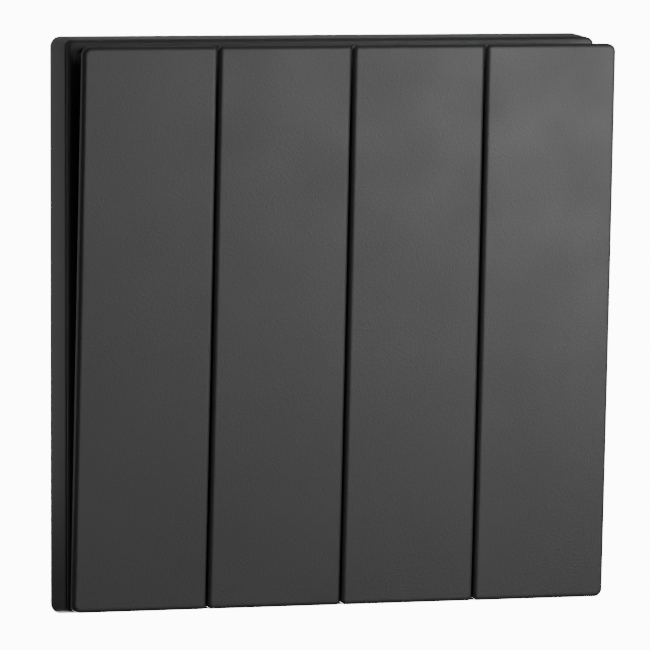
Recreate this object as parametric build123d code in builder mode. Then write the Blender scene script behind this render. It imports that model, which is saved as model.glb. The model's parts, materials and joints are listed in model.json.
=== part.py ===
from build123d import *
import os
from math import atan, cos, degrees, radians, sin, sqrt, tan

# Four-gang rocker light switch for a square wall box.
# Millimetres. X runs across the four keys, Z is up, the wall plane is Y = 0 and the front faces -Y.
# Depths below are distances in front of the wall plane, and a minus sign is inside the wall box.

os.makedirs("parts", exist_ok=True)

gangs = 4

# Surround frame
frame_width = 86.0
frame_height = 86.0
frame_depth = 6.2
frame_draft = 0.55
frame_corner = 1.6
frame_wall = 1.6
frame_edge_break = 0.3
rim_width = 1.45
ledge_width = 3.6
ledge_thickness = 1.8
shadow_line_depth = 0.3
shadow_line_width = 0.4
shadow_line_from_front = 0.95
lug_length = 8.0
lug_thickness = 0.35
lug_reach = 1.5
lug_spread = 44.0

# Support plate, pressed steel
plate_thickness = 1.2
plate_edge_gap = 1.9
plate_corner = 2.0
box_screw_inset = 12.85
box_slot_width = 4.0
box_slot_length = 6.4
box_slot_web = 1.95
box_screw_head_hole = 9.0

# Rocker carrier
carrier_thickness = 1.8
carrier_edge_gap = 0.9
carrier_undercut = 0.9
carrier_undercut_height = 0.6
rim_gap = 0.3
locating_rim_thickness = 0.9
locating_rim_height = 1.2
post_thickness = 1.7
post_half = 2.1
post_snap_half = 1.15
stop_rib_at = 13.5
stop_rib_thickness = 1.0
stop_gap = 0.3

# Keys
key_side_margin = 0.225
key_end_margin = 1.0
key_gap = 0.4
key_thickness = 1.4
key_crown = 0.15
key_face_depth = 11.7
key_tilt = 3.4
key_outer_corner = 1.2
key_inner_corner = 0.4
key_edge_break = 0.4
skirt_inset = 2.4
skirt_thickness = 1.0
skirt_height = 1.0
clip_width = 3.2
clip_thickness = 1.2
clip_hook = 0.6
clip_hook_height = 0.7
clip_gap = 0.15
clip_inset = 0.25
seat_rib_at = 8.5
seat_rib_thickness = 1.2

# Rockers
pivot_depth = 5.0
platform_depth = 8.5
platform_thickness = 1.5
platform_half_height = 16.0
platform_key_gap = 0.4
bridge_depth = 7.6
bridge_half_height = 4.5
window_width = 9.6
window_height = 10.0
side_gap = 0.3
cheek_thickness = 1.2
cheek_half = 1.8
trunnion_r = 1.5
trunnion_clearance = 0.05
trunnion_end_gap = 0.15
stem_width = 5.0
stem_length = 14.6
stem_slot_gap = 0.5
stem_swing_gap = 0.7

# Plungers and springs
bore_r = 1.6
bore_start = 1.0
plunger_clearance = 0.08
plunger_tip_r = 1.1
plunger_nose = 0.4
plunger_shoulder = 2.6
plunger_body_length = 4.2
plunger_arm_gap = 0.2
spring_clearance = 0.2
spring_wire = 0.35
spring_end_gap = 0.05

# Contact arms
arm_pivot_depth = -13.0
arm_ratio = 2.8
arm_width = 6.0
arm_thickness = 0.6
arm_half_length = 11.0
arm_flat_half = 3.5
arm_ridge_gap = 0.05
ridge_top_r = 0.25
ridge_top_half = 0.15
ridge_base_half = 1.2
contact_height = 9.4
contact_gap = 0.1
moving_contact_width = 2.8
moving_contact_thickness = 0.7
fixed_contact_width = 3.2
fixed_contact_thickness = 0.8

# Terminals
strip_thickness = 0.8
strip_width = 4.4
common_strip_width = 4.0
contact_pad_width = 6.0
contact_pad_length = 6.2
ear_thickness = 0.8
ear_gap = 0.3
ear_half_height = 1.5
ear_above_pivot = 1.4
cage_width = 7.2
cage_length = 6.6
cage_wall = 1.1
cage_window_height = 3.8
cage_back_wall = 1.7
cage_window_width = 5.0
cage_end_margin = 7.0
strip_end_short = 0.4
strip_cage_gap = 0.1
terminal_screw_r = 1.75
terminal_screw_clearance = 0.05
terminal_screw_stand_out = 1.2
terminal_screw_tip_gap = 0.55
driver_slot_width = 0.8
driver_slot_depth = 0.7

# Mechanism housing
housing_end_margin = 12.0
housing_side_wall = 1.5
housing_column_web = 1.8
housing_depth = 23.2
housing_corner = 1.0
housing_plate_gap = 0.3
housing_floor = 2.0
cavity_half_height = 15.5
recess_wall = 2.0
pocket_gap = 0.2
screw_window = 5.4
wire_entry = 3.6
rest_block_height = 2.6
ear_plate_width = 8.0
ear_plate_reach = 5.8
ear_plate_thickness = 2.5

# Housing screws
housing_screw_r = 1.3
housing_screw_head_r = 2.4
housing_screw_head_height = 1.6
housing_screw_bite = 5.0
cross_recess = 3.0
housing_screw_hole_gap = 0.2
boss_width = 5.4
boss_height = 3.2
boss_hole_clearance = 0.05
boss_hole_extra = 0.3

# Worked out from the sizes above
middle = (gangs - 1) / 2
key_width = (frame_width - 2 * key_side_margin + key_gap) / gangs - key_gap
key_height = frame_height - 2 * key_end_margin
key_pitch = key_width + key_gap
box_screw_spacing = frame_width - 2 * box_screw_inset
housing_width = box_screw_spacing - box_slot_length - 2 * box_slot_web
housing_height = frame_height - 2 * housing_end_margin
column_pitch = (housing_width - 2 * housing_side_wall + housing_column_web) / gangs
cavity_width = column_pitch - housing_column_web
cage_centre = housing_height / 2 - cage_end_margin
key_x = [(n - middle) * key_pitch for n in range(gangs)]
column_x = [(n - middle) * column_pitch for n in range(gangs)]
frame_side = frame_depth - frame_edge_break
frame_taper = degrees(atan(frame_draft / frame_side))
ledge_back = plate_thickness + carrier_thickness
ledge_front = ledge_back + ledge_thickness
opening_width = frame_width - 2 * ledge_width
opening_height = frame_height - 2 * ledge_width
inner_width = frame_width - 2 * frame_wall
inner_height = frame_height - 2 * frame_wall
carrier_width = inner_width - 2 * carrier_edge_gap
carrier_height = inner_height - 2 * carrier_edge_gap
plate_width = inner_width - 2 * plate_edge_gap
plate_height = inner_height - 2 * plate_edge_gap
locating_width = opening_width - 2 * rim_gap
locating_height = opening_height - 2 * rim_gap
outer_post_x = locating_width / 2 - locating_rim_thickness
post_x = [-outer_post_x] + [(n - middle + 0.5) * column_pitch for n in range(gangs - 1)] + [outer_post_x]
platform_back = platform_depth - platform_thickness
key_back_depth = key_face_depth - key_thickness
arm_tilt = key_tilt * arm_ratio
arm_back = ridge_top_r + arm_ridge_gap
ridge_top_y = -arm_pivot_depth - sqrt(ridge_top_r**2 - ridge_top_half**2)
arm_front = arm_back + arm_thickness
tip_reach = pivot_depth - arm_pivot_depth - arm_front - plunger_arm_gap
wing_back_depth = arm_pivot_depth + arm_back * cos(radians(arm_tilt)) - arm_flat_half * sin(radians(arm_tilt))
fixed_contact_depth = wing_back_depth - moving_contact_thickness - contact_gap
strip_front = fixed_contact_depth - fixed_contact_thickness
strip_back = strip_front - strip_thickness
floor_depth = strip_back
cage_front = strip_front + strip_cage_gap + cage_wall
cage_window_back = strip_front + strip_cage_gap - cage_window_height
cage_back = cage_window_back - cage_back_wall
pocket_back = cage_back - pocket_gap
cage_end = cage_centre + cage_length / 2
pocket_end = cage_end + pocket_gap
middle_half_height = cage_centre - cage_length / 2 - pocket_gap - recess_wall
screw_back = cage_back - terminal_screw_stand_out
housing_screw_z = housing_height / 2 + ear_plate_reach / 2


def front(depth):
    """The plane parallel to the wall at this distance in front of it, facing out."""
    return Plane.XZ.offset(depth)


def gang_face(x, reach):
    """A plane across the tilted rocker, this far out from its pivot."""
    t = radians(key_tilt)
    outward = Vector(0, -cos(t), -sin(t))
    origin = Vector(x, -pivot_depth, 0) + outward * reach
    return Plane(origin=origin, x_dir=(1, 0, 0), z_dir=outward)


def gang_side(x):
    """A plane through the tilted rocker seen from its side: local x points out, local y up."""
    t = radians(key_tilt)
    return Plane(origin=(x, -pivot_depth, 0), x_dir=(0, -cos(t), -sin(t)), z_dir=(-1, 0, 0))


def arm_side(x):
    """The same for a contact arm, which leans the other way about its own ridge."""
    t = radians(arm_tilt)
    return Plane(origin=(x, -arm_pivot_depth, 0), x_dir=(0, -cos(t), sin(t)), z_dir=(-1, 0, 0))


def save(part, name):
    """Label a finished piece and write it."""
    part.label = name
    export_step(part, f"parts/{name}.step")


# Surround frame: a drafted ring with a front rim, an inner ledge and snap lugs behind it
lug_depth = plate_thickness + (carrier_undercut_height - lug_thickness) / 2
lug_seats = [(x, z) for x in (-lug_spread / 2, lug_spread / 2) for z in (-1, 1)]
with BuildPart() as surround_frame:
    with BuildSketch(front(0)):
        RectangleRounded(frame_width, frame_height, frame_corner)
    extrude(amount=frame_side, taper=frame_taper)
    with BuildSketch(front(frame_side)):
        front_size = (frame_width - 2 * frame_draft, frame_height - 2 * frame_draft)
        RectangleRounded(*front_size, frame_corner - frame_draft)
    extrude(amount=frame_edge_break, taper=45)
    with BuildSketch(front(0)):
        Rectangle(inner_width, inner_height)
    extrude(amount=ledge_back, mode=Mode.SUBTRACT)
    with BuildSketch(front(0)):
        Rectangle(opening_width, opening_height)
    extrude(amount=frame_depth, mode=Mode.SUBTRACT)
    with BuildSketch(front(ledge_front)):
        rim_inset = 2 * (frame_draft + rim_width)
        RectangleRounded(frame_width - rim_inset, frame_height - rim_inset, frame_corner / 2)
    extrude(amount=frame_depth - ledge_front, mode=Mode.SUBTRACT)
    line_back = frame_depth - shadow_line_from_front
    line_inset = 2 * (frame_draft * line_back / frame_side + shadow_line_depth)
    with BuildSketch(front(line_back)):
        Rectangle(frame_width + frame_wall, frame_height + frame_wall)
        line_size = (frame_width - line_inset, frame_height - line_inset)
        RectangleRounded(*line_size, frame_corner - shadow_line_depth, mode=Mode.SUBTRACT)
    extrude(amount=shadow_line_width, mode=Mode.SUBTRACT)
    with BuildSketch(front(lug_depth)):
        with Locations(*[(x, z * (inner_height - lug_reach) / 2) for x, z in lug_seats]):
            Rectangle(lug_length, lug_reach)
        with Locations(*[(z * (inner_width - lug_reach) / 2, x) for x, z in lug_seats]):
            Rectangle(lug_reach, lug_length)
    extrude(amount=lug_thickness)
save(surround_frame.part, "surround_frame")

# Support plate: flat steel with the housing opening, two box slots and the housing screw holes
screw_seats = [(0, -housing_screw_z), (0, housing_screw_z)]
box_seats = [(-box_screw_spacing / 2, 0), (box_screw_spacing / 2, 0)]
with BuildPart() as support_plate:
    with BuildSketch(front(0)):
        plate = Rectangle(plate_width, plate_height)
        chamfer(plate.vertices(), plate_corner)
        plate_gap = 2 * housing_plate_gap
        Rectangle(housing_width + plate_gap, housing_height + plate_gap, mode=Mode.SUBTRACT)
        with Locations(*box_seats):
            SlotOverall(box_slot_length, box_slot_width, mode=Mode.SUBTRACT)
        with Locations(*screw_seats):
            Circle(housing_screw_r + housing_screw_hole_gap, mode=Mode.SUBTRACT)
    extrude(amount=plate_thickness)
save(support_plate.part, "support_plate")

# Rocker carrier: the moulded base that the frame snaps on, with a bearing post between the rockers
limit = radians(key_tilt)
stop_reach = (platform_back - pivot_depth) * cos(limit) - stop_rib_at * sin(limit)
stop_rib_front = pivot_depth + stop_reach - stop_gap
with BuildPart() as rocker_carrier:
    with BuildSketch(front(plate_thickness)):
        lip = 2 * carrier_undercut
        Rectangle(carrier_width - lip, carrier_height - lip)
    extrude(amount=carrier_undercut_height)
    with BuildSketch(front(plate_thickness + carrier_undercut_height)):
        Rectangle(carrier_width, carrier_height)
    extrude(amount=carrier_thickness - carrier_undercut_height)
    with BuildSketch(front(ledge_back)):
        Rectangle(locating_width, locating_height)
        rim = 2 * locating_rim_thickness
        Rectangle(locating_width - rim, locating_height - rim, mode=Mode.SUBTRACT)
    extrude(amount=locating_rim_height)
    with BuildSketch(front(ledge_back)):
        with Locations((0, -stop_rib_at), (0, stop_rib_at)):
            Rectangle(2 * outer_post_x, stop_rib_thickness)
    extrude(amount=stop_rib_front - ledge_back)
    with BuildSketch(front(ledge_back)):
        with Locations(*screw_seats):
            Rectangle(boss_width, boss_width)
    extrude(amount=boss_height)
    for x in post_x:
        with BuildSketch(Plane.YZ.offset(x)):
            with Locations((-(ledge_back + pivot_depth + post_half) / 2, 0)):
                Rectangle(pivot_depth + post_half - ledge_back, 2 * post_half)
        extrude(amount=post_thickness / 2, both=True)
    with BuildSketch(Plane.YZ):
        with Locations((-pivot_depth, 0)):
            Circle(trunnion_r + trunnion_clearance)
        with Locations((-pivot_depth - post_half / 2, 0)):
            Rectangle(post_half, 2 * post_snap_half)
    extrude(amount=frame_width / 2 - frame_wall, both=True, mode=Mode.SUBTRACT)
    with BuildSketch(front(plate_thickness)):
        with Locations(*[(x, 0) for x in column_x]):
            Rectangle(stem_width + 2 * stem_slot_gap, stem_width + 2 * stem_swing_gap)
        with Locations(*box_seats):
            Rectangle(box_screw_head_hole, box_screw_head_hole)
    extrude(amount=carrier_thickness, mode=Mode.SUBTRACT)
    with BuildSketch(front(plate_thickness)):
        with Locations(*screw_seats):
            Circle(housing_screw_r + boss_hole_clearance)
    extrude(amount=housing_screw_bite - plate_thickness + boss_hole_extra, mode=Mode.SUBTRACT)
save(rocker_carrier.part, "rocker_carrier")


# Keys: crowned plates with a skirt, two seat ribs and four clip legs that hold the rocker's platform
def rocker_edges(n):
    """Left and right side of rocker n, between its two bearing posts."""
    reach = post_thickness / 2 + side_gap
    return post_x[n] + reach, post_x[n + 1] - reach


def platform_edges(n):
    """Left and right side of the platform, which stays under its own key."""
    left, right = rocker_edges(n)
    reach = key_width / 2 - platform_key_gap
    return max(left, key_x[n] - reach), min(right, key_x[n] + reach)


def clip_places(n):
    """X of the two rows of clip legs, where the platform lies under the key."""
    left, right = platform_edges(n)
    skirt_reach = key_width / 2 - skirt_inset - skirt_thickness
    left = max(left, key_x[n] - skirt_reach)
    right = min(right, key_x[n] + skirt_reach)
    inset = clip_width / 2 + clip_inset
    return left + inset, right - inset


def make_key(n):
    """Key n, at rest with its top out."""
    x = key_x[n]
    back = key_back_depth - pivot_depth
    face = key_face_depth - pivot_depth
    half = key_height / 2
    with BuildPart() as key:
        with BuildSketch(gang_side(x)):
            with BuildLine():
                Polyline((face - key_crown, half), (back, half), (back, -half), (face - key_crown, -half))
                ThreePointArc((face - key_crown, -half), (face, 0), (face - key_crown, half))
            make_face()
        extrude(amount=key_width / 2, both=True)
        upright = key.edges().filter_by(lambda e: e.length < 2 * key_thickness).sort_by(Axis.X)
        if n == 0:
            fillet(upright[:2], key_outer_corner)
        else:
            chamfer(upright[:2], key_inner_corner)
        upright = key.edges().filter_by(lambda e: e.length < 2 * key_thickness).sort_by(Axis.X)
        if n == gangs - 1:
            fillet(upright[-2:], key_outer_corner)
        else:
            chamfer(upright[-2:], key_inner_corner)
        crowned_face = key.faces().filter_by(GeomType.CYLINDER).sort_by(SortBy.AREA)[-1]
        chamfer(crowned_face.edges(), key_edge_break)
        with BuildSketch(gang_face(x, back)):
            skirt_width = key_width - 2 * skirt_inset
            skirt_length = key_height - 2 * skirt_inset
            Rectangle(skirt_width, skirt_length)
            wall = 2 * skirt_thickness
            Rectangle(skirt_width - wall, skirt_length - wall, mode=Mode.SUBTRACT)
        extrude(amount=-skirt_height)
        left, right = clip_places(n)
        with BuildSketch(gang_face((left + right) / 2, back)):
            with Locations((0, -seat_rib_at), (0, seat_rib_at)):
                Rectangle(right - left + clip_width, seat_rib_thickness)
        extrude(amount=-(key_back_depth - platform_depth))
        hook_front = platform_back - pivot_depth - clip_gap
        hook_back = hook_front - clip_hook_height
        leg_foot = platform_half_height + clip_gap
        for clip_x in (left, right):
            with BuildSketch(gang_side(clip_x)):
                with BuildLine():
                    Polyline(
                        (back, leg_foot),
                        (back, leg_foot + clip_thickness),
                        (hook_back, leg_foot + clip_thickness),
                        (hook_back, leg_foot),
                        (hook_front, leg_foot - clip_hook),
                        (hook_front, leg_foot),
                        close=True,
                    )
                make_face()
                mirror(about=Plane.XZ)
            extrude(amount=clip_width / 2, both=True)
    return key.part


for n in range(gangs):
    save(make_key(n), f"key_{n + 1}")


# Rockers: a platform on two trunnions, with a hollow stem that reaches into the mechanism
def make_rocker(n):
    """Rocker n, which carries key n and swings between two bearing posts."""
    left, right = rocker_edges(n)
    low, high = platform_edges(n)
    centre = (low + high) / 2
    out = platform_back - pivot_depth
    with BuildPart() as rocker:
        with BuildSketch(gang_face(centre, out)):
            Rectangle(high - low, 2 * platform_half_height)
            for screw_x, _ in box_seats:
                if low < screw_x < high:
                    with Locations((screw_x - centre, 0)):
                        Rectangle(window_width, window_height, mode=Mode.SUBTRACT)
        extrude(amount=platform_thickness)
        if right - left > high - low:
            end, inner = (right, high) if right > high else (left, low)
            bridge = abs(end - inner) + platform_key_gap
            side = 1 if right > high else -1
            with BuildSketch(gang_face(end - side * bridge / 2, bridge_depth - pivot_depth)):
                Rectangle(bridge, 2 * bridge_half_height)
            extrude(amount=-platform_thickness)
        for cheek_x in (left + cheek_thickness / 2, right - cheek_thickness / 2):
            with BuildSketch(gang_side(cheek_x)):
                with Locations(((out - cheek_half) / 2, 0)):
                    Rectangle(out + cheek_half, 2 * cheek_half)
            extrude(amount=cheek_thickness / 2, both=True)
        left_reach = side_gap + (post_thickness if n == 0 else post_thickness / 2) - trunnion_end_gap
        right_reach = side_gap + (post_thickness if n == gangs - 1 else post_thickness / 2) - trunnion_end_gap
        for start, reach in ((left, -left_reach), (right, right_reach)):
            with BuildSketch(Plane.YZ.offset(start)):
                with Locations((-pivot_depth, 0)):
                    Circle(trunnion_r)
            extrude(amount=reach)
        with BuildSketch(gang_face(column_x[n], out)):
            Rectangle(stem_width, stem_width)
        extrude(amount=-(out + stem_length))
        with BuildSketch(gang_face(column_x[n], -stem_length)):
            Circle(bore_r)
        extrude(amount=stem_length - bore_start, mode=Mode.SUBTRACT)
    return rocker.part


for n in range(gangs):
    save(make_rocker(n), f"rocker_{n + 1}")


# Plungers and their springs, inside the stems
def make_plunger(n):
    """Plunger n on the stem's axis, with a tapered nose that ends just off the contact arm."""
    r = bore_r - plunger_clearance
    shoulder = -(tip_reach - plunger_shoulder)
    back = shoulder + plunger_body_length
    with BuildPart() as plunger:
        with BuildSketch(gang_face(column_x[n], back)):
            Circle(r)
        extrude(amount=plunger_nose - tip_reach - back)
        with BuildSketch(gang_face(column_x[n], plunger_nose - tip_reach)):
            Circle(r)
        with BuildSketch(gang_face(column_x[n], -tip_reach)):
            Circle(plunger_tip_r)
        loft(ruled=True)
    return plunger.part


def make_spring(n):
    """Spring n as the plain tube that it fills, between the bore's end and the plunger."""
    r = bore_r - spring_clearance
    back = -(tip_reach - plunger_shoulder) + plunger_body_length
    with BuildPart() as spring:
        with BuildSketch(gang_face(column_x[n], -bore_start)):
            Circle(r)
            Circle(r - spring_wire, mode=Mode.SUBTRACT)
        extrude(amount=back + bore_start + spring_end_gap)
    return spring.part


for n in range(gangs):
    save(make_plunger(n), f"plunger_{n + 1}")
    save(make_spring(n), f"plunger_spring_{n + 1}")


# Contact arms: bent strips that rock on a ridge, each with a silver contact on its upper end
def make_arm(x):
    """The arm above column x, at rest with its upper end pressed back."""
    lift = (arm_half_length - arm_flat_half) * tan(radians(arm_tilt))
    right_side = [
        (arm_back, 0),
        (arm_back, arm_flat_half),
        (arm_back + lift, arm_half_length),
        (arm_front + lift, arm_half_length),
        (arm_front, arm_flat_half),
        (arm_front, 0),
    ]
    with BuildPart() as arm:
        with BuildSketch(arm_side(x)):
            with BuildLine():
                Polyline(*right_side, close=True)
            make_face()
            mirror(about=Plane.XZ)
        extrude(amount=arm_width / 2, both=True)
    return arm.part


def make_moving_contact(x):
    """The silver pad on the back of the arm's upper end."""
    with BuildPart() as contact:
        with BuildSketch(front(wing_back_depth)):
            with Locations((x, contact_height)):
                Rectangle(moving_contact_width, moving_contact_width)
        extrude(amount=-moving_contact_thickness)
    return contact.part


def make_fixed_contact(x):
    """The silver pad on the line terminal, facing the arm."""
    with BuildPart() as contact:
        with BuildSketch(front(strip_front)):
            with Locations((x, contact_height)):
                Rectangle(fixed_contact_width, fixed_contact_width)
        extrude(amount=fixed_contact_thickness)
    return contact.part


# Terminals: flat strips on the housing floor, each ending inside a screw cage
def make_line_terminal(x):
    """The upper strip, with a pad for its contact."""
    tail = cage_end - strip_end_short
    pad_low = contact_height - contact_pad_length / 2
    with BuildPart() as terminal:
        with BuildSketch(front(strip_back)):
            with Locations((x, contact_height)):
                Rectangle(contact_pad_width, contact_pad_length)
            with Locations((x, (pad_low + tail) / 2)):
                Rectangle(strip_width, tail - pad_low)
        extrude(amount=strip_thickness)
    return terminal.part


def make_common_terminal(x):
    """The lower strip, with the ridge that the arm rocks on and an ear at each side of it."""
    tail = cage_end - strip_end_short
    ear_inner = arm_width / 2 + ear_gap
    ear_outer = ear_inner + ear_thickness
    with BuildPart() as terminal:
        with BuildSketch(front(strip_back)):
            with Locations((x, (ear_half_height - tail) / 2)):
                Rectangle(common_strip_width, tail + ear_half_height)
            with Locations((x, 0)):
                Rectangle(2 * ear_outer, 2 * ear_half_height)
        extrude(amount=strip_thickness)
        with BuildSketch(front(strip_front)):
            for side in (-1, 1):
                with Locations((x + side * (ear_inner + ear_outer) / 2, 0)):
                    Rectangle(ear_thickness, 2 * ear_half_height)
        extrude(amount=arm_pivot_depth + ear_above_pivot - strip_front)
        with BuildSketch(Plane.YZ.offset(x)):
            with BuildLine():
                Polyline(
                    (-strip_front, -ridge_base_half),
                    (-strip_front, ridge_base_half),
                    (-arm_pivot_depth, ridge_top_r),
                    (ridge_top_y, ridge_top_half),
                    (ridge_top_y, -ridge_top_half),
                    (-arm_pivot_depth, -ridge_top_r),
                    close=True,
                )
            make_face()
        extrude(amount=common_strip_width / 2, both=True)
    return terminal.part


def make_cage(x, z):
    """A square brass cage around a strip's end, tapped through its back wall."""
    with BuildPart() as cage:
        with BuildSketch(front(cage_back)):
            with Locations((x, z)):
                Rectangle(cage_width, cage_length)
        extrude(amount=cage_front - cage_back)
        with BuildSketch(front(cage_window_back)):
            with Locations((x, z)):
                Rectangle(cage_window_width, cage_length)
        extrude(amount=cage_window_height, mode=Mode.SUBTRACT)
        with BuildSketch(front(cage_back)):
            with Locations((x, z)):
                Circle(terminal_screw_r + terminal_screw_clearance)
        extrude(amount=cage_back_wall, mode=Mode.SUBTRACT)
    return cage.part


for n in range(gangs):
    save(make_arm(column_x[n]), f"contact_arm_{n + 1}")
    save(make_moving_contact(column_x[n]), f"moving_contact_{n + 1}")
    save(make_fixed_contact(column_x[n]), f"fixed_contact_{n + 1}")
    save(make_line_terminal(column_x[n]), f"line_terminal_{n + 1}")
    save(make_common_terminal(column_x[n]), f"common_terminal_{n + 1}")
    save(make_cage(column_x[n], cage_centre), f"line_cage_{n + 1}")
    save(make_cage(column_x[n], -cage_centre), f"common_cage_{n + 1}")

# Terminal screws, headless, all eight in one node
cage_seats = [(x, z) for x in column_x for z in (-cage_centre, cage_centre)]
with BuildPart() as terminal_screws:
    with BuildSketch(front(screw_back)):
        with Locations(*cage_seats):
            Circle(terminal_screw_r)
    extrude(amount=strip_back - terminal_screw_tip_gap - screw_back)
    with BuildSketch(front(screw_back)):
        with Locations(*cage_seats):
            Rectangle(2 * terminal_screw_r, driver_slot_width, rotation=30)
    extrude(amount=driver_slot_depth, mode=Mode.SUBTRACT)
save(terminal_screws.part, "terminal_screws")

# Mechanism housing: a tray of four cavities with a screw pocket at each end of every one
floor_back = floor_depth - housing_floor
with BuildPart() as mechanism_housing:
    with BuildSketch(front(plate_thickness)):
        tray = Rectangle(housing_width, housing_height)
        chamfer(tray.vertices(), housing_corner)
    extrude(amount=-(plate_thickness + housing_depth))
    with BuildSketch(front(-housing_depth)):
        Rectangle(housing_width, 2 * middle_half_height)
    extrude(amount=housing_depth + floor_back, mode=Mode.SUBTRACT)
    with BuildSketch(front(0)):
        for x, z in screw_seats:
            side = 1 if z > 0 else -1
            ear_height = ear_plate_reach + housing_corner
            with Locations((x, side * (housing_height / 2 + (ear_plate_reach - housing_corner) / 2))):
                Rectangle(ear_plate_width, ear_height)
        with Locations(*screw_seats):
            Circle(housing_screw_r + housing_screw_hole_gap, mode=Mode.SUBTRACT)
    extrude(amount=-ear_plate_thickness)
    with BuildSketch(front(plate_thickness)):
        with Locations(*[(x, 0) for x in column_x]):
            Rectangle(cavity_width, 2 * cavity_half_height)
            Rectangle(strip_width + 2 * pocket_gap, 2 * pocket_end)
    extrude(amount=floor_depth - plate_thickness, mode=Mode.SUBTRACT)
    with BuildSketch(front(plate_thickness)):
        with Locations(*cage_seats):
            Rectangle(cage_width + 2 * pocket_gap, cage_length + 2 * pocket_gap)
    extrude(amount=pocket_back - plate_thickness, mode=Mode.SUBTRACT)
    with BuildSketch(front(-housing_depth)):
        with Locations(*cage_seats):
            Rectangle(screw_window, screw_window)
    extrude(amount=housing_depth + pocket_back, mode=Mode.SUBTRACT)
    entry_centre = (strip_front + cage_window_back) / 2
    for side in (-1, 1):
        with BuildSketch(Plane.XY.offset(side * housing_height / 2)):
            with Locations(*[(x, -entry_centre) for x in column_x]):
                Rectangle(wire_entry, wire_entry)
        extrude(amount=side * (cage_centre - housing_height / 2), mode=Mode.SUBTRACT)
    for x in column_x:
        block_inner = common_strip_width / 2 + pocket_gap
        block_outer = cavity_width / 2
        with BuildSketch(front(floor_depth)):
            for side in (-1, 1):
                with Locations((x + side * (block_inner + block_outer) / 2, -contact_height)):
                    Rectangle(block_outer - block_inner, rest_block_height)
        extrude(amount=wing_back_depth - contact_gap - floor_depth)
save(mechanism_housing.part, "mechanism_housing")

# Housing screws, both in one node
with BuildPart() as housing_screws:
    with BuildSketch(front(-ear_plate_thickness - housing_screw_head_height)):
        with Locations(*screw_seats):
            Circle(housing_screw_head_r)
    extrude(amount=housing_screw_head_height)
    with BuildSketch(front(-ear_plate_thickness)):
        with Locations(*screw_seats):
            Circle(housing_screw_r)
    extrude(amount=ear_plate_thickness + housing_screw_bite)
    with BuildSketch(front(-ear_plate_thickness - housing_screw_head_height)):
        with Locations(*screw_seats):
            Rectangle(cross_recess, driver_slot_width)
            Rectangle(driver_slot_width, cross_recess)
    extrude(amount=driver_slot_depth, mode=Mode.SUBTRACT)
save(housing_screws.part, "housing_screws")
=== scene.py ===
import json
import math

import bpy
from mathutils import Matrix, Vector


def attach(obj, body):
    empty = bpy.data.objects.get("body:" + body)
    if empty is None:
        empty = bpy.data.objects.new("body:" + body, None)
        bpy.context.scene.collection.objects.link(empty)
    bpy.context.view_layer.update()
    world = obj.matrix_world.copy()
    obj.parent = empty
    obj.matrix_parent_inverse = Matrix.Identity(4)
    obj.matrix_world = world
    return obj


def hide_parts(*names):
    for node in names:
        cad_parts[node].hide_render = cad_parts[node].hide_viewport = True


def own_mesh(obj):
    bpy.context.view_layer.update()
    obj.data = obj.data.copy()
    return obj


# The looks of a four-gang light switch. Metres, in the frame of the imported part:
# X runs across the four keys, Z is up, the wall plane is Y = 0 and the keys face -Y.

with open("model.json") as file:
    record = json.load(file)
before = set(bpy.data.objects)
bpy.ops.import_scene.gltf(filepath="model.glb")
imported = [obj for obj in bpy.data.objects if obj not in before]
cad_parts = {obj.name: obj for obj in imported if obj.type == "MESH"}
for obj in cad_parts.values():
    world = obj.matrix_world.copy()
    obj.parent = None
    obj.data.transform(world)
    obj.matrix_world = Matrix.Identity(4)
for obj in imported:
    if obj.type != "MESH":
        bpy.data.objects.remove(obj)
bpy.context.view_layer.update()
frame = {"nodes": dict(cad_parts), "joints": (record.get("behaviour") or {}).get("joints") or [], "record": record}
gangs = range(1, 5)
print("frame loaded", len(frame["nodes"]), "nodes")


# Helpers for node trees. This one gives a new material with its tree, its shader and the object's own
# coordinates, and each of the others gives the socket that its nodes end in.
def newMaterial(name):
    material = bpy.data.materials.new(name)
    material.use_nodes = True
    tree = material.node_tree
    shader = tree.nodes["Principled BSDF"]
    coordinates = tree.nodes.new("ShaderNodeTexCoord")
    return material, tree, shader, coordinates.outputs["Object"]


# The same coordinates, stretched differently along each axis
def stretched(tree, vector, scale):
    mapping = tree.nodes.new("ShaderNodeMapping")
    mapping.inputs["Scale"].default_value = scale
    tree.links.new(vector, mapping.inputs["Vector"])
    return mapping.outputs["Vector"]


# Cloudy noise, with its scale in waves a metre
def noise(tree, vector, scale, detail, roughness=0.5):
    texture = tree.nodes.new("ShaderNodeTexNoise")
    texture.inputs["Scale"].default_value = scale
    texture.inputs["Detail"].default_value = detail
    texture.inputs["Roughness"].default_value = roughness
    tree.links.new(vector, texture.inputs["Vector"])
    return texture.outputs["Fac"]


# Distance to scattered points, for a pitted surface
def cells(tree, vector, scale):
    texture = tree.nodes.new("ShaderNodeTexVoronoi")
    texture.inputs["Scale"].default_value = scale
    tree.links.new(vector, texture.inputs["Vector"])
    return texture.outputs["Distance"]


noiseRange = (0.3, 0.7)  # most of a noise's values lie between these


# A noise value, mapped from that range to low and high
def spread(tree, value, low, high):
    mapRange = tree.nodes.new("ShaderNodeMapRange")
    mapRange.inputs["From Min"].default_value = noiseRange[0]
    mapRange.inputs["From Max"].default_value = noiseRange[1]
    mapRange.inputs["To Min"].default_value = low
    mapRange.inputs["To Max"].default_value = high
    tree.links.new(value, mapRange.inputs["Value"])
    return mapRange.outputs["Result"]


# A colour between two, by a noise value
def blended(tree, value, dark, light):
    ramp = tree.nodes.new("ShaderNodeValToRGB")
    ramp.color_ramp.elements[0].position = noiseRange[0]
    ramp.color_ramp.elements[0].color = (*dark, 1)
    ramp.color_ramp.elements[1].position = noiseRange[1]
    ramp.color_ramp.elements[1].color = (*light, 1)
    tree.links.new(value, ramp.inputs["Fac"])
    return ramp.outputs["Color"]


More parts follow.
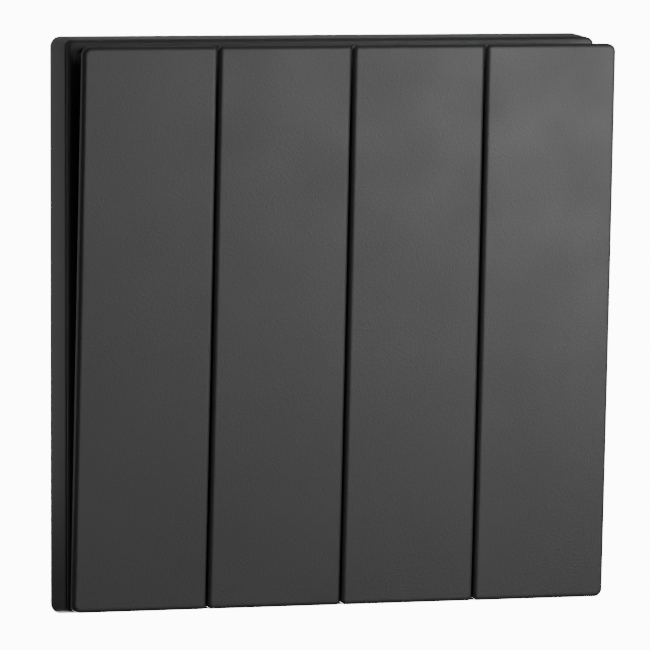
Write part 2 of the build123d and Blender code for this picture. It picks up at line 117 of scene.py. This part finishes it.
# Edges that are shaded as if they had a small round
def softened(tree, radius, samples):
    bevel = tree.nodes.new("ShaderNodeBevel")
    bevel.samples = samples
    bevel.inputs["Radius"].default_value = radius
    return bevel.outputs["Normal"]


# A bump from a height value, on top of other normals if they are given
def bumped(tree, height, distance, strength, under=None):
    bump = tree.nodes.new("ShaderNodeBump")
    bump.inputs["Distance"].default_value = distance
    bump.inputs["Strength"].default_value = strength
    tree.links.new(height, bump.inputs["Height"])
    if under is not None:
        tree.links.new(under, bump.inputs["Normal"])
    return bump.outputs["Normal"]


# Painted shade: one within a recess behind a front plane and inside a square, nought outside it. It marks where a
# colour darker than the plastic stands in for the shadow in the recess.
def paintedShadeMask(tree, vector, settings):
    axes = tree.nodes.new("ShaderNodeSeparateXYZ")
    tree.links.new(vector, axes.inputs["Vector"])
    sides = []
    for axis in ("X", "Z"):
        size = tree.nodes.new("ShaderNodeMath")
        size.operation = "ABSOLUTE"
        tree.links.new(axes.outputs[axis], size.inputs[0])
        sides.append(size.outputs["Value"])
    widest = tree.nodes.new("ShaderNodeMath")
    widest.operation = "MAXIMUM"
    tree.links.new(sides[0], widest.inputs[0])
    tree.links.new(sides[1], widest.inputs[1])
    factors = []
    for value, (start, end) in (
        (widest.outputs["Value"], settings["sides"]),
        (axes.outputs["Y"], settings["front"]),
    ):
        step = tree.nodes.new("ShaderNodeMapRange")
        step.inputs["From Min"].default_value = start
        step.inputs["From Max"].default_value = end
        tree.links.new(value, step.inputs["Value"])
        factors.append(step.outputs["Result"])
    both = tree.nodes.new("ShaderNodeMath")
    both.operation = "MULTIPLY"
    tree.links.new(factors[0], both.inputs[0])
    tree.links.new(factors[1], both.inputs[1])
    return both.outputs["Value"]


# Moulded plastic: a fine spark-eroded grain with pits, faint flow clouds and slightly uneven gloss, and, where the
# settings ask for it, a painted shade on a recessed ledge
def plasticMaterial(name, settings):
    material, tree, shader, place = newMaterial(name)
    clouds = noise(tree, place, settings["cloudScale"], settings["cloudDetail"], settings["cloudRoughness"])
    shade = settings["shade"]
    variation = settings["variation"]
    dark = [c * (1 - variation) for c in shade]
    light = [c * (1 + variation) for c in shade]
    colour = blended(tree, clouds, dark, light)
    # Painted shade: inside the recess the colour turns near black, standing in for the shadow that falls on the
    # ledge
    if "recessPaintedShade" in settings:
        paintedShade = tree.nodes.new("ShaderNodeMix")
        paintedShade.data_type = "RGBA"
        paintedShade.inputs["B"].default_value = (*settings["recessPaintedShade"]["shade"], 1)
        tree.links.new(paintedShadeMask(tree, place, settings["recessPaintedShade"]), paintedShade.inputs["Factor"])
        tree.links.new(colour, paintedShade.inputs["A"])
        colour = paintedShade.outputs["Result"]
    tree.links.new(colour, shader.inputs["Base Color"])
    gloss = noise(tree, place, settings["glossScale"], settings["glossDetail"])
    middle, swing = settings["roughness"], settings["glossSwing"]
    roughness = spread(tree, gloss, middle - swing, middle + swing)
    tree.links.new(roughness, shader.inputs["Roughness"])
    grain = noise(tree, place, settings["grainScale"], settings["grainDetail"], settings["grainRoughness"])
    edges = None
    if settings["edgeRadius"]:
        edges = softened(tree, settings["edgeRadius"], settings["edgeSamples"])
    grained = bumped(tree, grain, settings["grainHeight"], settings["grainStrength"], edges)
    pits = cells(tree, place, settings["pitScale"])
    pitted = bumped(tree, pits, settings["grainHeight"], settings["pitStrength"], grained)
    tree.links.new(pitted, shader.inputs["Normal"])
    shader.inputs["Specular IOR Level"].default_value = settings["specular"]
    return material


# Metals: drawn or rolled lines along one axis over cloudy tarnish
def metalMaterial(name, settings):
    material, tree, shader, place = newMaterial(name)
    detail, fineness = settings["tarnishDetail"], settings["tarnishRoughness"]
    tarnish = noise(tree, place, settings["tarnishScale"], detail, fineness)
    tree.links.new(blended(tree, tarnish, settings["dark"], settings["light"]), shader.inputs["Base Color"])
    drawn = stretched(tree, place, settings["grainStretch"])
    lines = noise(tree, drawn, settings["grainScale"], settings["grainDetail"])
    low, high = settings["roughness"]
    tree.links.new(spread(tree, lines, low, high), shader.inputs["Roughness"])
    scratched = bumped(tree, lines, settings["grainHeight"], settings["grainStrength"])
    tree.links.new(scratched, shader.inputs["Normal"])
    shader.inputs["Metallic"].default_value = 1.0
    return material


keyPlastic = {
    "shade": (0.036, 0.036, 0.037),
    "variation": 0.05,
    "cloudScale": 60.0,
    "cloudDetail": 4.0,
    "cloudRoughness": 0.6,
    "glossScale": 90.0,
    "glossDetail": 2.0,
    "glossSwing": 0.04,
    "roughness": 0.5,
    "grainScale": 5200.0,
    "grainDetail": 2.0,
    "grainRoughness": 0.65,
    "grainHeight": 0.00003,
    "grainStrength": 0.55,
    "pitScale": 3600.0,
    "pitStrength": 0.35,
    "specular": 0.5,
    "edgeRadius": 0.0006,  # 0 leaves the edges as they are
    "edgeSamples": 6,
}
# The ledge inside the surround's rim gets a painted shade, much darker than the plastic, for the shadow under the
# keys. Each pair says where the plastic's own colour ends and the painted shade begins.
framePaintedShade = {
    "shade": (0.002, 0.002, 0.002),
    "sides": (0.0402, 0.0399),  # out from the middle, across or up
    "front": (-0.0056, -0.0050),  # along Y
}
# The frame's plastic, with the painted shade on its ledge
framePlasticWithPaintedShade = dict(keyPlastic, shade=(0.033, 0.033, 0.034), roughness=0.48, edgeRadius=0.0009,
                    recessPaintedShade=framePaintedShade)
# The inner parts' dark plastic, made darker still as painted shade for the gaps between the keys where they are
# seen
innerPlasticWithPaintedShade = dict(keyPlastic, shade=(0.004, 0.004, 0.004), roughness=0.6, grainStrength=0.3, specular=0.15,
                    edgeRadius=0.0)
rockerPlastic = dict(innerPlasticWithPaintedShade, shade=(0.006, 0.006, 0.006), grainStrength=0.25)
housingPlastic = dict(keyPlastic, shade=(0.060, 0.060, 0.062), roughness=0.52, grainScale=3000.0,
                      edgeRadius=0.0)
plungerPlastic = dict(keyPlastic, shade=(0.62, 0.60, 0.55), roughness=0.38, grainStrength=0.12,
                      edgeRadius=0.0)

plateSteel = {
    "dark": (0.50, 0.50, 0.49),
    "light": (0.64, 0.64, 0.62),
    "tarnishScale": 220.0,
    "tarnishDetail": 5.0,
    "tarnishRoughness": 0.6,
    "grainStretch": (1.0, 1.0, 14.0),
    "grainScale": 240.0,
    "grainDetail": 3.0,
    "grainHeight": 0.00002,
    "grainStrength": 0.4,
    "roughness": (0.28, 0.42),
}
screwSteel = dict(plateSteel, tarnishScale=900.0, grainStretch=(1.0, 9.0, 1.0), grainScale=900.0,
                  roughness=(0.2, 0.34))
springSteel = dict(plateSteel, dark=(0.42, 0.42, 0.41), light=(0.56, 0.56, 0.55), tarnishScale=1500.0,
                   grainScale=1600.0, roughness=(0.18, 0.3))
contactBrass = dict(plateSteel, dark=(0.58, 0.33, 0.14), light=(0.74, 0.47, 0.22), tarnishScale=420.0,
                    grainStretch=(8.0, 1.0, 1.0), grainScale=500.0, roughness=(0.22, 0.36))
contactSilver = dict(plateSteel, dark=(0.72, 0.71, 0.68), light=(0.84, 0.83, 0.81), tarnishScale=1200.0,
                     grainScale=1400.0, roughness=(0.16, 0.3))
cageBrass = dict(plateSteel, dark=(0.62, 0.46, 0.17), light=(0.78, 0.60, 0.27), tarnishScale=600.0,
                 grainStretch=(1.0, 8.0, 1.0), grainScale=700.0, roughness=(0.2, 0.34))

finishes = {
    "key_plastic": plasticMaterial("key plastic", keyPlastic),
    "frame_plastic": plasticMaterial("frame plastic with painted shade", framePlasticWithPaintedShade),
    "inner_plastic": plasticMaterial("inner plastic with painted shade", innerPlasticWithPaintedShade),
    "rocker_plastic": plasticMaterial("rocker plastic", rockerPlastic),
    "housing_plastic": plasticMaterial("housing plastic", housingPlastic),
    "plunger_plastic": plasticMaterial("plunger plastic", plungerPlastic),
    "plate_steel": metalMaterial("plate steel", plateSteel),
    "screw_steel": metalMaterial("screw steel", screwSteel),
    "spring_steel": metalMaterial("spring steel", springSteel),
    "contact_brass": metalMaterial("contact brass", contactBrass),
    "contact_silver": metalMaterial("contact silver", contactSilver),
    "cage_brass": metalMaterial("cage brass", cageBrass),
}
for part in frame["record"]["subparts"]:
    node = frame["nodes"][part["node"]]
    node.data.materials.clear()
    node.data.materials.append(finishes[part["material_slot"]])
print("materials made", len(finishes))


# Coil springs inside the rockers' stems, in place of the plain tubes
coil = {
    "wireRadius": 0.00016,
    "turns": 8,
    "stepsEachTurn": 22,
    "wireSides": 8,
    "smoothBelow": 60,  # degrees between faces
}


# A coil along the axis of its stem, from the bore's end to the plunger, with both ends of its wire closed
def makeCoil(gang):
    node = frame["nodes"][f"plunger_spring_{gang}"]
    joint = next(j for j in frame["joints"] if j["name"] == f"plunger_{gang}_slide")
    outward = Vector(joint["axis"]).normalized()
    corners = [v.co for v in node.data.vertices]
    along = [c.dot(outward) for c in corners]
    centre = sum(corners, Vector()) / len(corners)
    middle = centre - outward * centre.dot(outward)
    outer = max((c - middle - outward * c.dot(outward)).length for c in corners)
    wire = coil["wireRadius"]
    length = max(along) - min(along) - 2 * wire
    bpy.ops.object.select_all(action="DESELECT")
    bpy.ops.mesh.primitive_circle_add(
        vertices=coil["wireSides"],
        radius=wire,
        fill_type="NGON",
        location=(outer - wire, 0, 0),
        rotation=(math.pi / 2, 0, 0),
    )
    spring = bpy.context.object
    spring.name = f"coil_{gang}"
    bpy.ops.object.transform_apply(location=True, rotation=True, scale=True)
    bpy.ops.object.mode_set(mode="EDIT")
    bpy.ops.mesh.select_all(action="SELECT")
    bpy.ops.mesh.delete(type="ONLY_FACE")
    bpy.ops.object.mode_set(mode="OBJECT")
    screw = spring.modifiers.new("turns", "SCREW")
    screw.axis = "Z"
    screw.angle = 2 * math.pi
    screw.screw_offset = length / coil["turns"]
    screw.iterations = coil["turns"]
    screw.steps = coil["stepsEachTurn"]
    screw.render_steps = coil["stepsEachTurn"]
    screw.use_merge_vertices = True
    bpy.ops.object.modifier_apply(modifier=screw.name)
    bpy.ops.object.mode_set(mode="EDIT")
    bpy.ops.mesh.select_all(action="DESELECT")
    bpy.ops.mesh.select_non_manifold()
    bpy.ops.mesh.fill()
    bpy.ops.mesh.select_all(action="SELECT")
    bpy.ops.mesh.normals_make_consistent(inside=False)
    bpy.ops.object.mode_set(mode="OBJECT")
    turn = outward.to_track_quat("Z", "Y").to_matrix().to_4x4()
    start = middle + outward * (min(along) + wire)
    spring.data.transform(Matrix.Translation(start) @ turn)
    bpy.ops.object.shade_smooth_by_angle(angle=math.radians(coil["smoothBelow"]))
    spring.data.materials.append(finishes["spring_steel"])
    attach(spring, f"gang_{gang}")
    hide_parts(node.name)
    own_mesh(spring)


for gang in gangs:
    makeCoil(gang)
print("springs made")


# Floor: pale and even, and seen by the camera alone, so that it doesn't light the switch
stageSettings = {
    "floorSize": 60.0,
    "floorDrop": 0.9,
    "floorShade": (0.9, 0.9, 0.9),
    "floorRoughness": 0.9,
    "paleness": 12.0,  # of the floor and of the background
}
bpy.ops.object.select_all(action="DESELECT")
bpy.ops.mesh.primitive_plane_add(
    size=stageSettings["floorSize"],
    location=(0, 0, -stageSettings["floorDrop"]),
)
floor = bpy.context.object
floor.name = "floor"
floorMaterial = bpy.data.materials.new("floor")
floorMaterial.use_nodes = True
floorShader = floorMaterial.node_tree.nodes["Principled BSDF"]
floorShader.inputs["Base Color"].default_value = (*stageSettings["floorShade"], 1)
floorShader.inputs["Roughness"].default_value = stageSettings["floorRoughness"]
floorShader.inputs["Emission Color"].default_value = (1, 1, 1, 1)
floorShader.inputs["Emission Strength"].default_value = stageSettings["paleness"]
floor.data.materials.append(floorMaterial)
floor.visible_diffuse = False
floor.visible_glossy = False
floor.visible_shadow = False

# Room: dim, with a little more light from behind the switch. "turnsAt" is how far a direction points along +Y
# where the front's light ends and where the rear's is full.
roomSettings = {
    "front": 0.05,
    "behind": 0.16,
    "turnsAt": (0.1, 0.7),
}


# The room lights the switch, and the camera sees a background as pale as the floor in its place
def makeRoom(settings):
    world = bpy.data.worlds.new("studio")
    bpy.context.scene.world = world
    world.use_nodes = True
    tree = world.node_tree
    background = tree.nodes["Background"]
    background.inputs["Color"].default_value = (1, 1, 1, 1)
    direction = tree.nodes.new("ShaderNodeTexCoord")
    axes = tree.nodes.new("ShaderNodeSeparateXYZ")
    tree.links.new(direction.outputs["Generated"], axes.inputs["Vector"])
    wall = tree.nodes.new("ShaderNodeMapRange")
    wall.interpolation_type = "SMOOTHSTEP"
    wall.inputs["From Min"].default_value = settings["turnsAt"][0]
    wall.inputs["From Max"].default_value = settings["turnsAt"][1]
    wall.inputs["To Min"].default_value = settings["front"]
    wall.inputs["To Max"].default_value = settings["behind"]
    tree.links.new(axes.outputs["Y"], wall.inputs["Value"])
    seen = tree.nodes.new("ShaderNodeLightPath")
    strength = tree.nodes.new("ShaderNodeMix")
    strength.inputs["B"].default_value = stageSettings["paleness"]
    tree.links.new(wall.outputs["Result"], strength.inputs["A"])
    tree.links.new(seen.outputs["Is Camera Ray"], strength.inputs["Factor"])
    tree.links.new(strength.outputs["Result"], background.inputs["Strength"])


makeRoom(roomSettings)


# A flat box of white light, which the camera doesn't see and reflections see where "glossy" says so
def addSoftBox(name, settings):
    data = bpy.data.lights.new(name, "AREA")
    data.shape = "RECTANGLE"
    data.size = settings["width"]
    data.size_y = settings["height"]
    data.energy = settings["power"]
    light = bpy.data.objects.new(name, data)
    bpy.context.collection.objects.link(light)
    light.location = settings["place"]
    light.rotation_mode = "QUATERNION"
    light.rotation_quaternion = (Vector(settings["aim"]) - Vector(settings["place"])).to_track_quat("-Z", "Y")
    light.visible_camera = False
    light.visible_glossy = settings["glossy"]


# In front, above and to the right, close enough for its light to fall off across the keys
keyBox = {
    "place": (0.118, -0.155, 0.036),
    "aim": (0.0, 0.0, 0.0),
    "width": 0.12,
    "height": 0.12,
    "power": 0.305,
    "glossy": True,
}
addSoftBox("key light", keyBox)

# Behind the wall plane and low, which shows the housing and stays off the sides that the photograph sees
backBox = {
    "place": (0.20, 0.55, -0.20),
    "aim": (0.0, 0.0, 0.0),
    "width": 0.30,
    "height": 0.30,
    "power": 6.0,
    "glossy": True,
}
addSoftBox("back light", backBox)

# Two strips close behind the surround, as light that a pale wall throws back on its left side and top
sideStrip = {
    "place": (-0.058, 0.013, 0.020),
    "aim": (-0.043, 0.012, 0.020),
    "width": 0.02,
    "height": 0.10,
    "power": 0.023,
    "glossy": False,
}
addSoftBox("side strip", sideStrip)
topStrip = {
    "place": (0.0, 0.014, 0.060),
    "aim": (0.0, 0.0, 0.043),
    "width": 0.09,
    "height": 0.02,
    "power": 0.036,
    "glossy": False,
}
addSoftBox("top strip", topStrip)

# A weak one close to the camera, which lifts the keys' left edges
fillBox = {
    "place": (-0.08, -0.80, 0.0),
    "aim": (0.0, 0.0, 0.0),
    "width": 0.15,
    "height": 0.15,
    "power": 1.55,
    "glossy": True,
}
addSoftBox("fill light", fillBox)
print("floor and lights made")

# Camera, fitted to the photograph's edges, with its distance in metres and its sensor in millimetres
photoCamera = {
    "azimuth": math.radians(-21.949),
    "elevation": math.radians(2.780),
    "distance": 1.3156,
    "focalPixels": 8738.4,
    "imagePixels": 650,
    "originPixels": (318.49, 320.24),
    "sensor": 36.0,
    "clip": (0.01, 100.0),
}


# It looks at the frame's origin, and a small shift brings that to its place in the photograph
def addCamera(settings):
    data = bpy.data.cameras.new("photo camera")
    pixels = settings["imagePixels"]
    data.sensor_width = settings["sensor"]
    data.lens = settings["focalPixels"] / pixels * settings["sensor"]
    data.shift_x = 0.5 - settings["originPixels"][0] / pixels
    data.shift_y = settings["originPixels"][1] / pixels - 0.5
    data.clip_start, data.clip_end = settings["clip"]
    camera = bpy.data.objects.new("photo camera", data)
    bpy.context.collection.objects.link(camera)
    azimuth, elevation = settings["azimuth"], settings["elevation"]
    outward = Vector((
        math.sin(azimuth) * math.cos(elevation),
        -math.cos(azimuth) * math.cos(elevation),
        math.sin(elevation),
    ))
    camera.location = outward * settings["distance"]
    camera.rotation_mode = "QUATERNION"
    camera.rotation_quaternion = (-outward).to_track_quat("-Z", "Y")
    bpy.context.scene.camera = camera


addCamera(photoCamera)

print("camera placed")
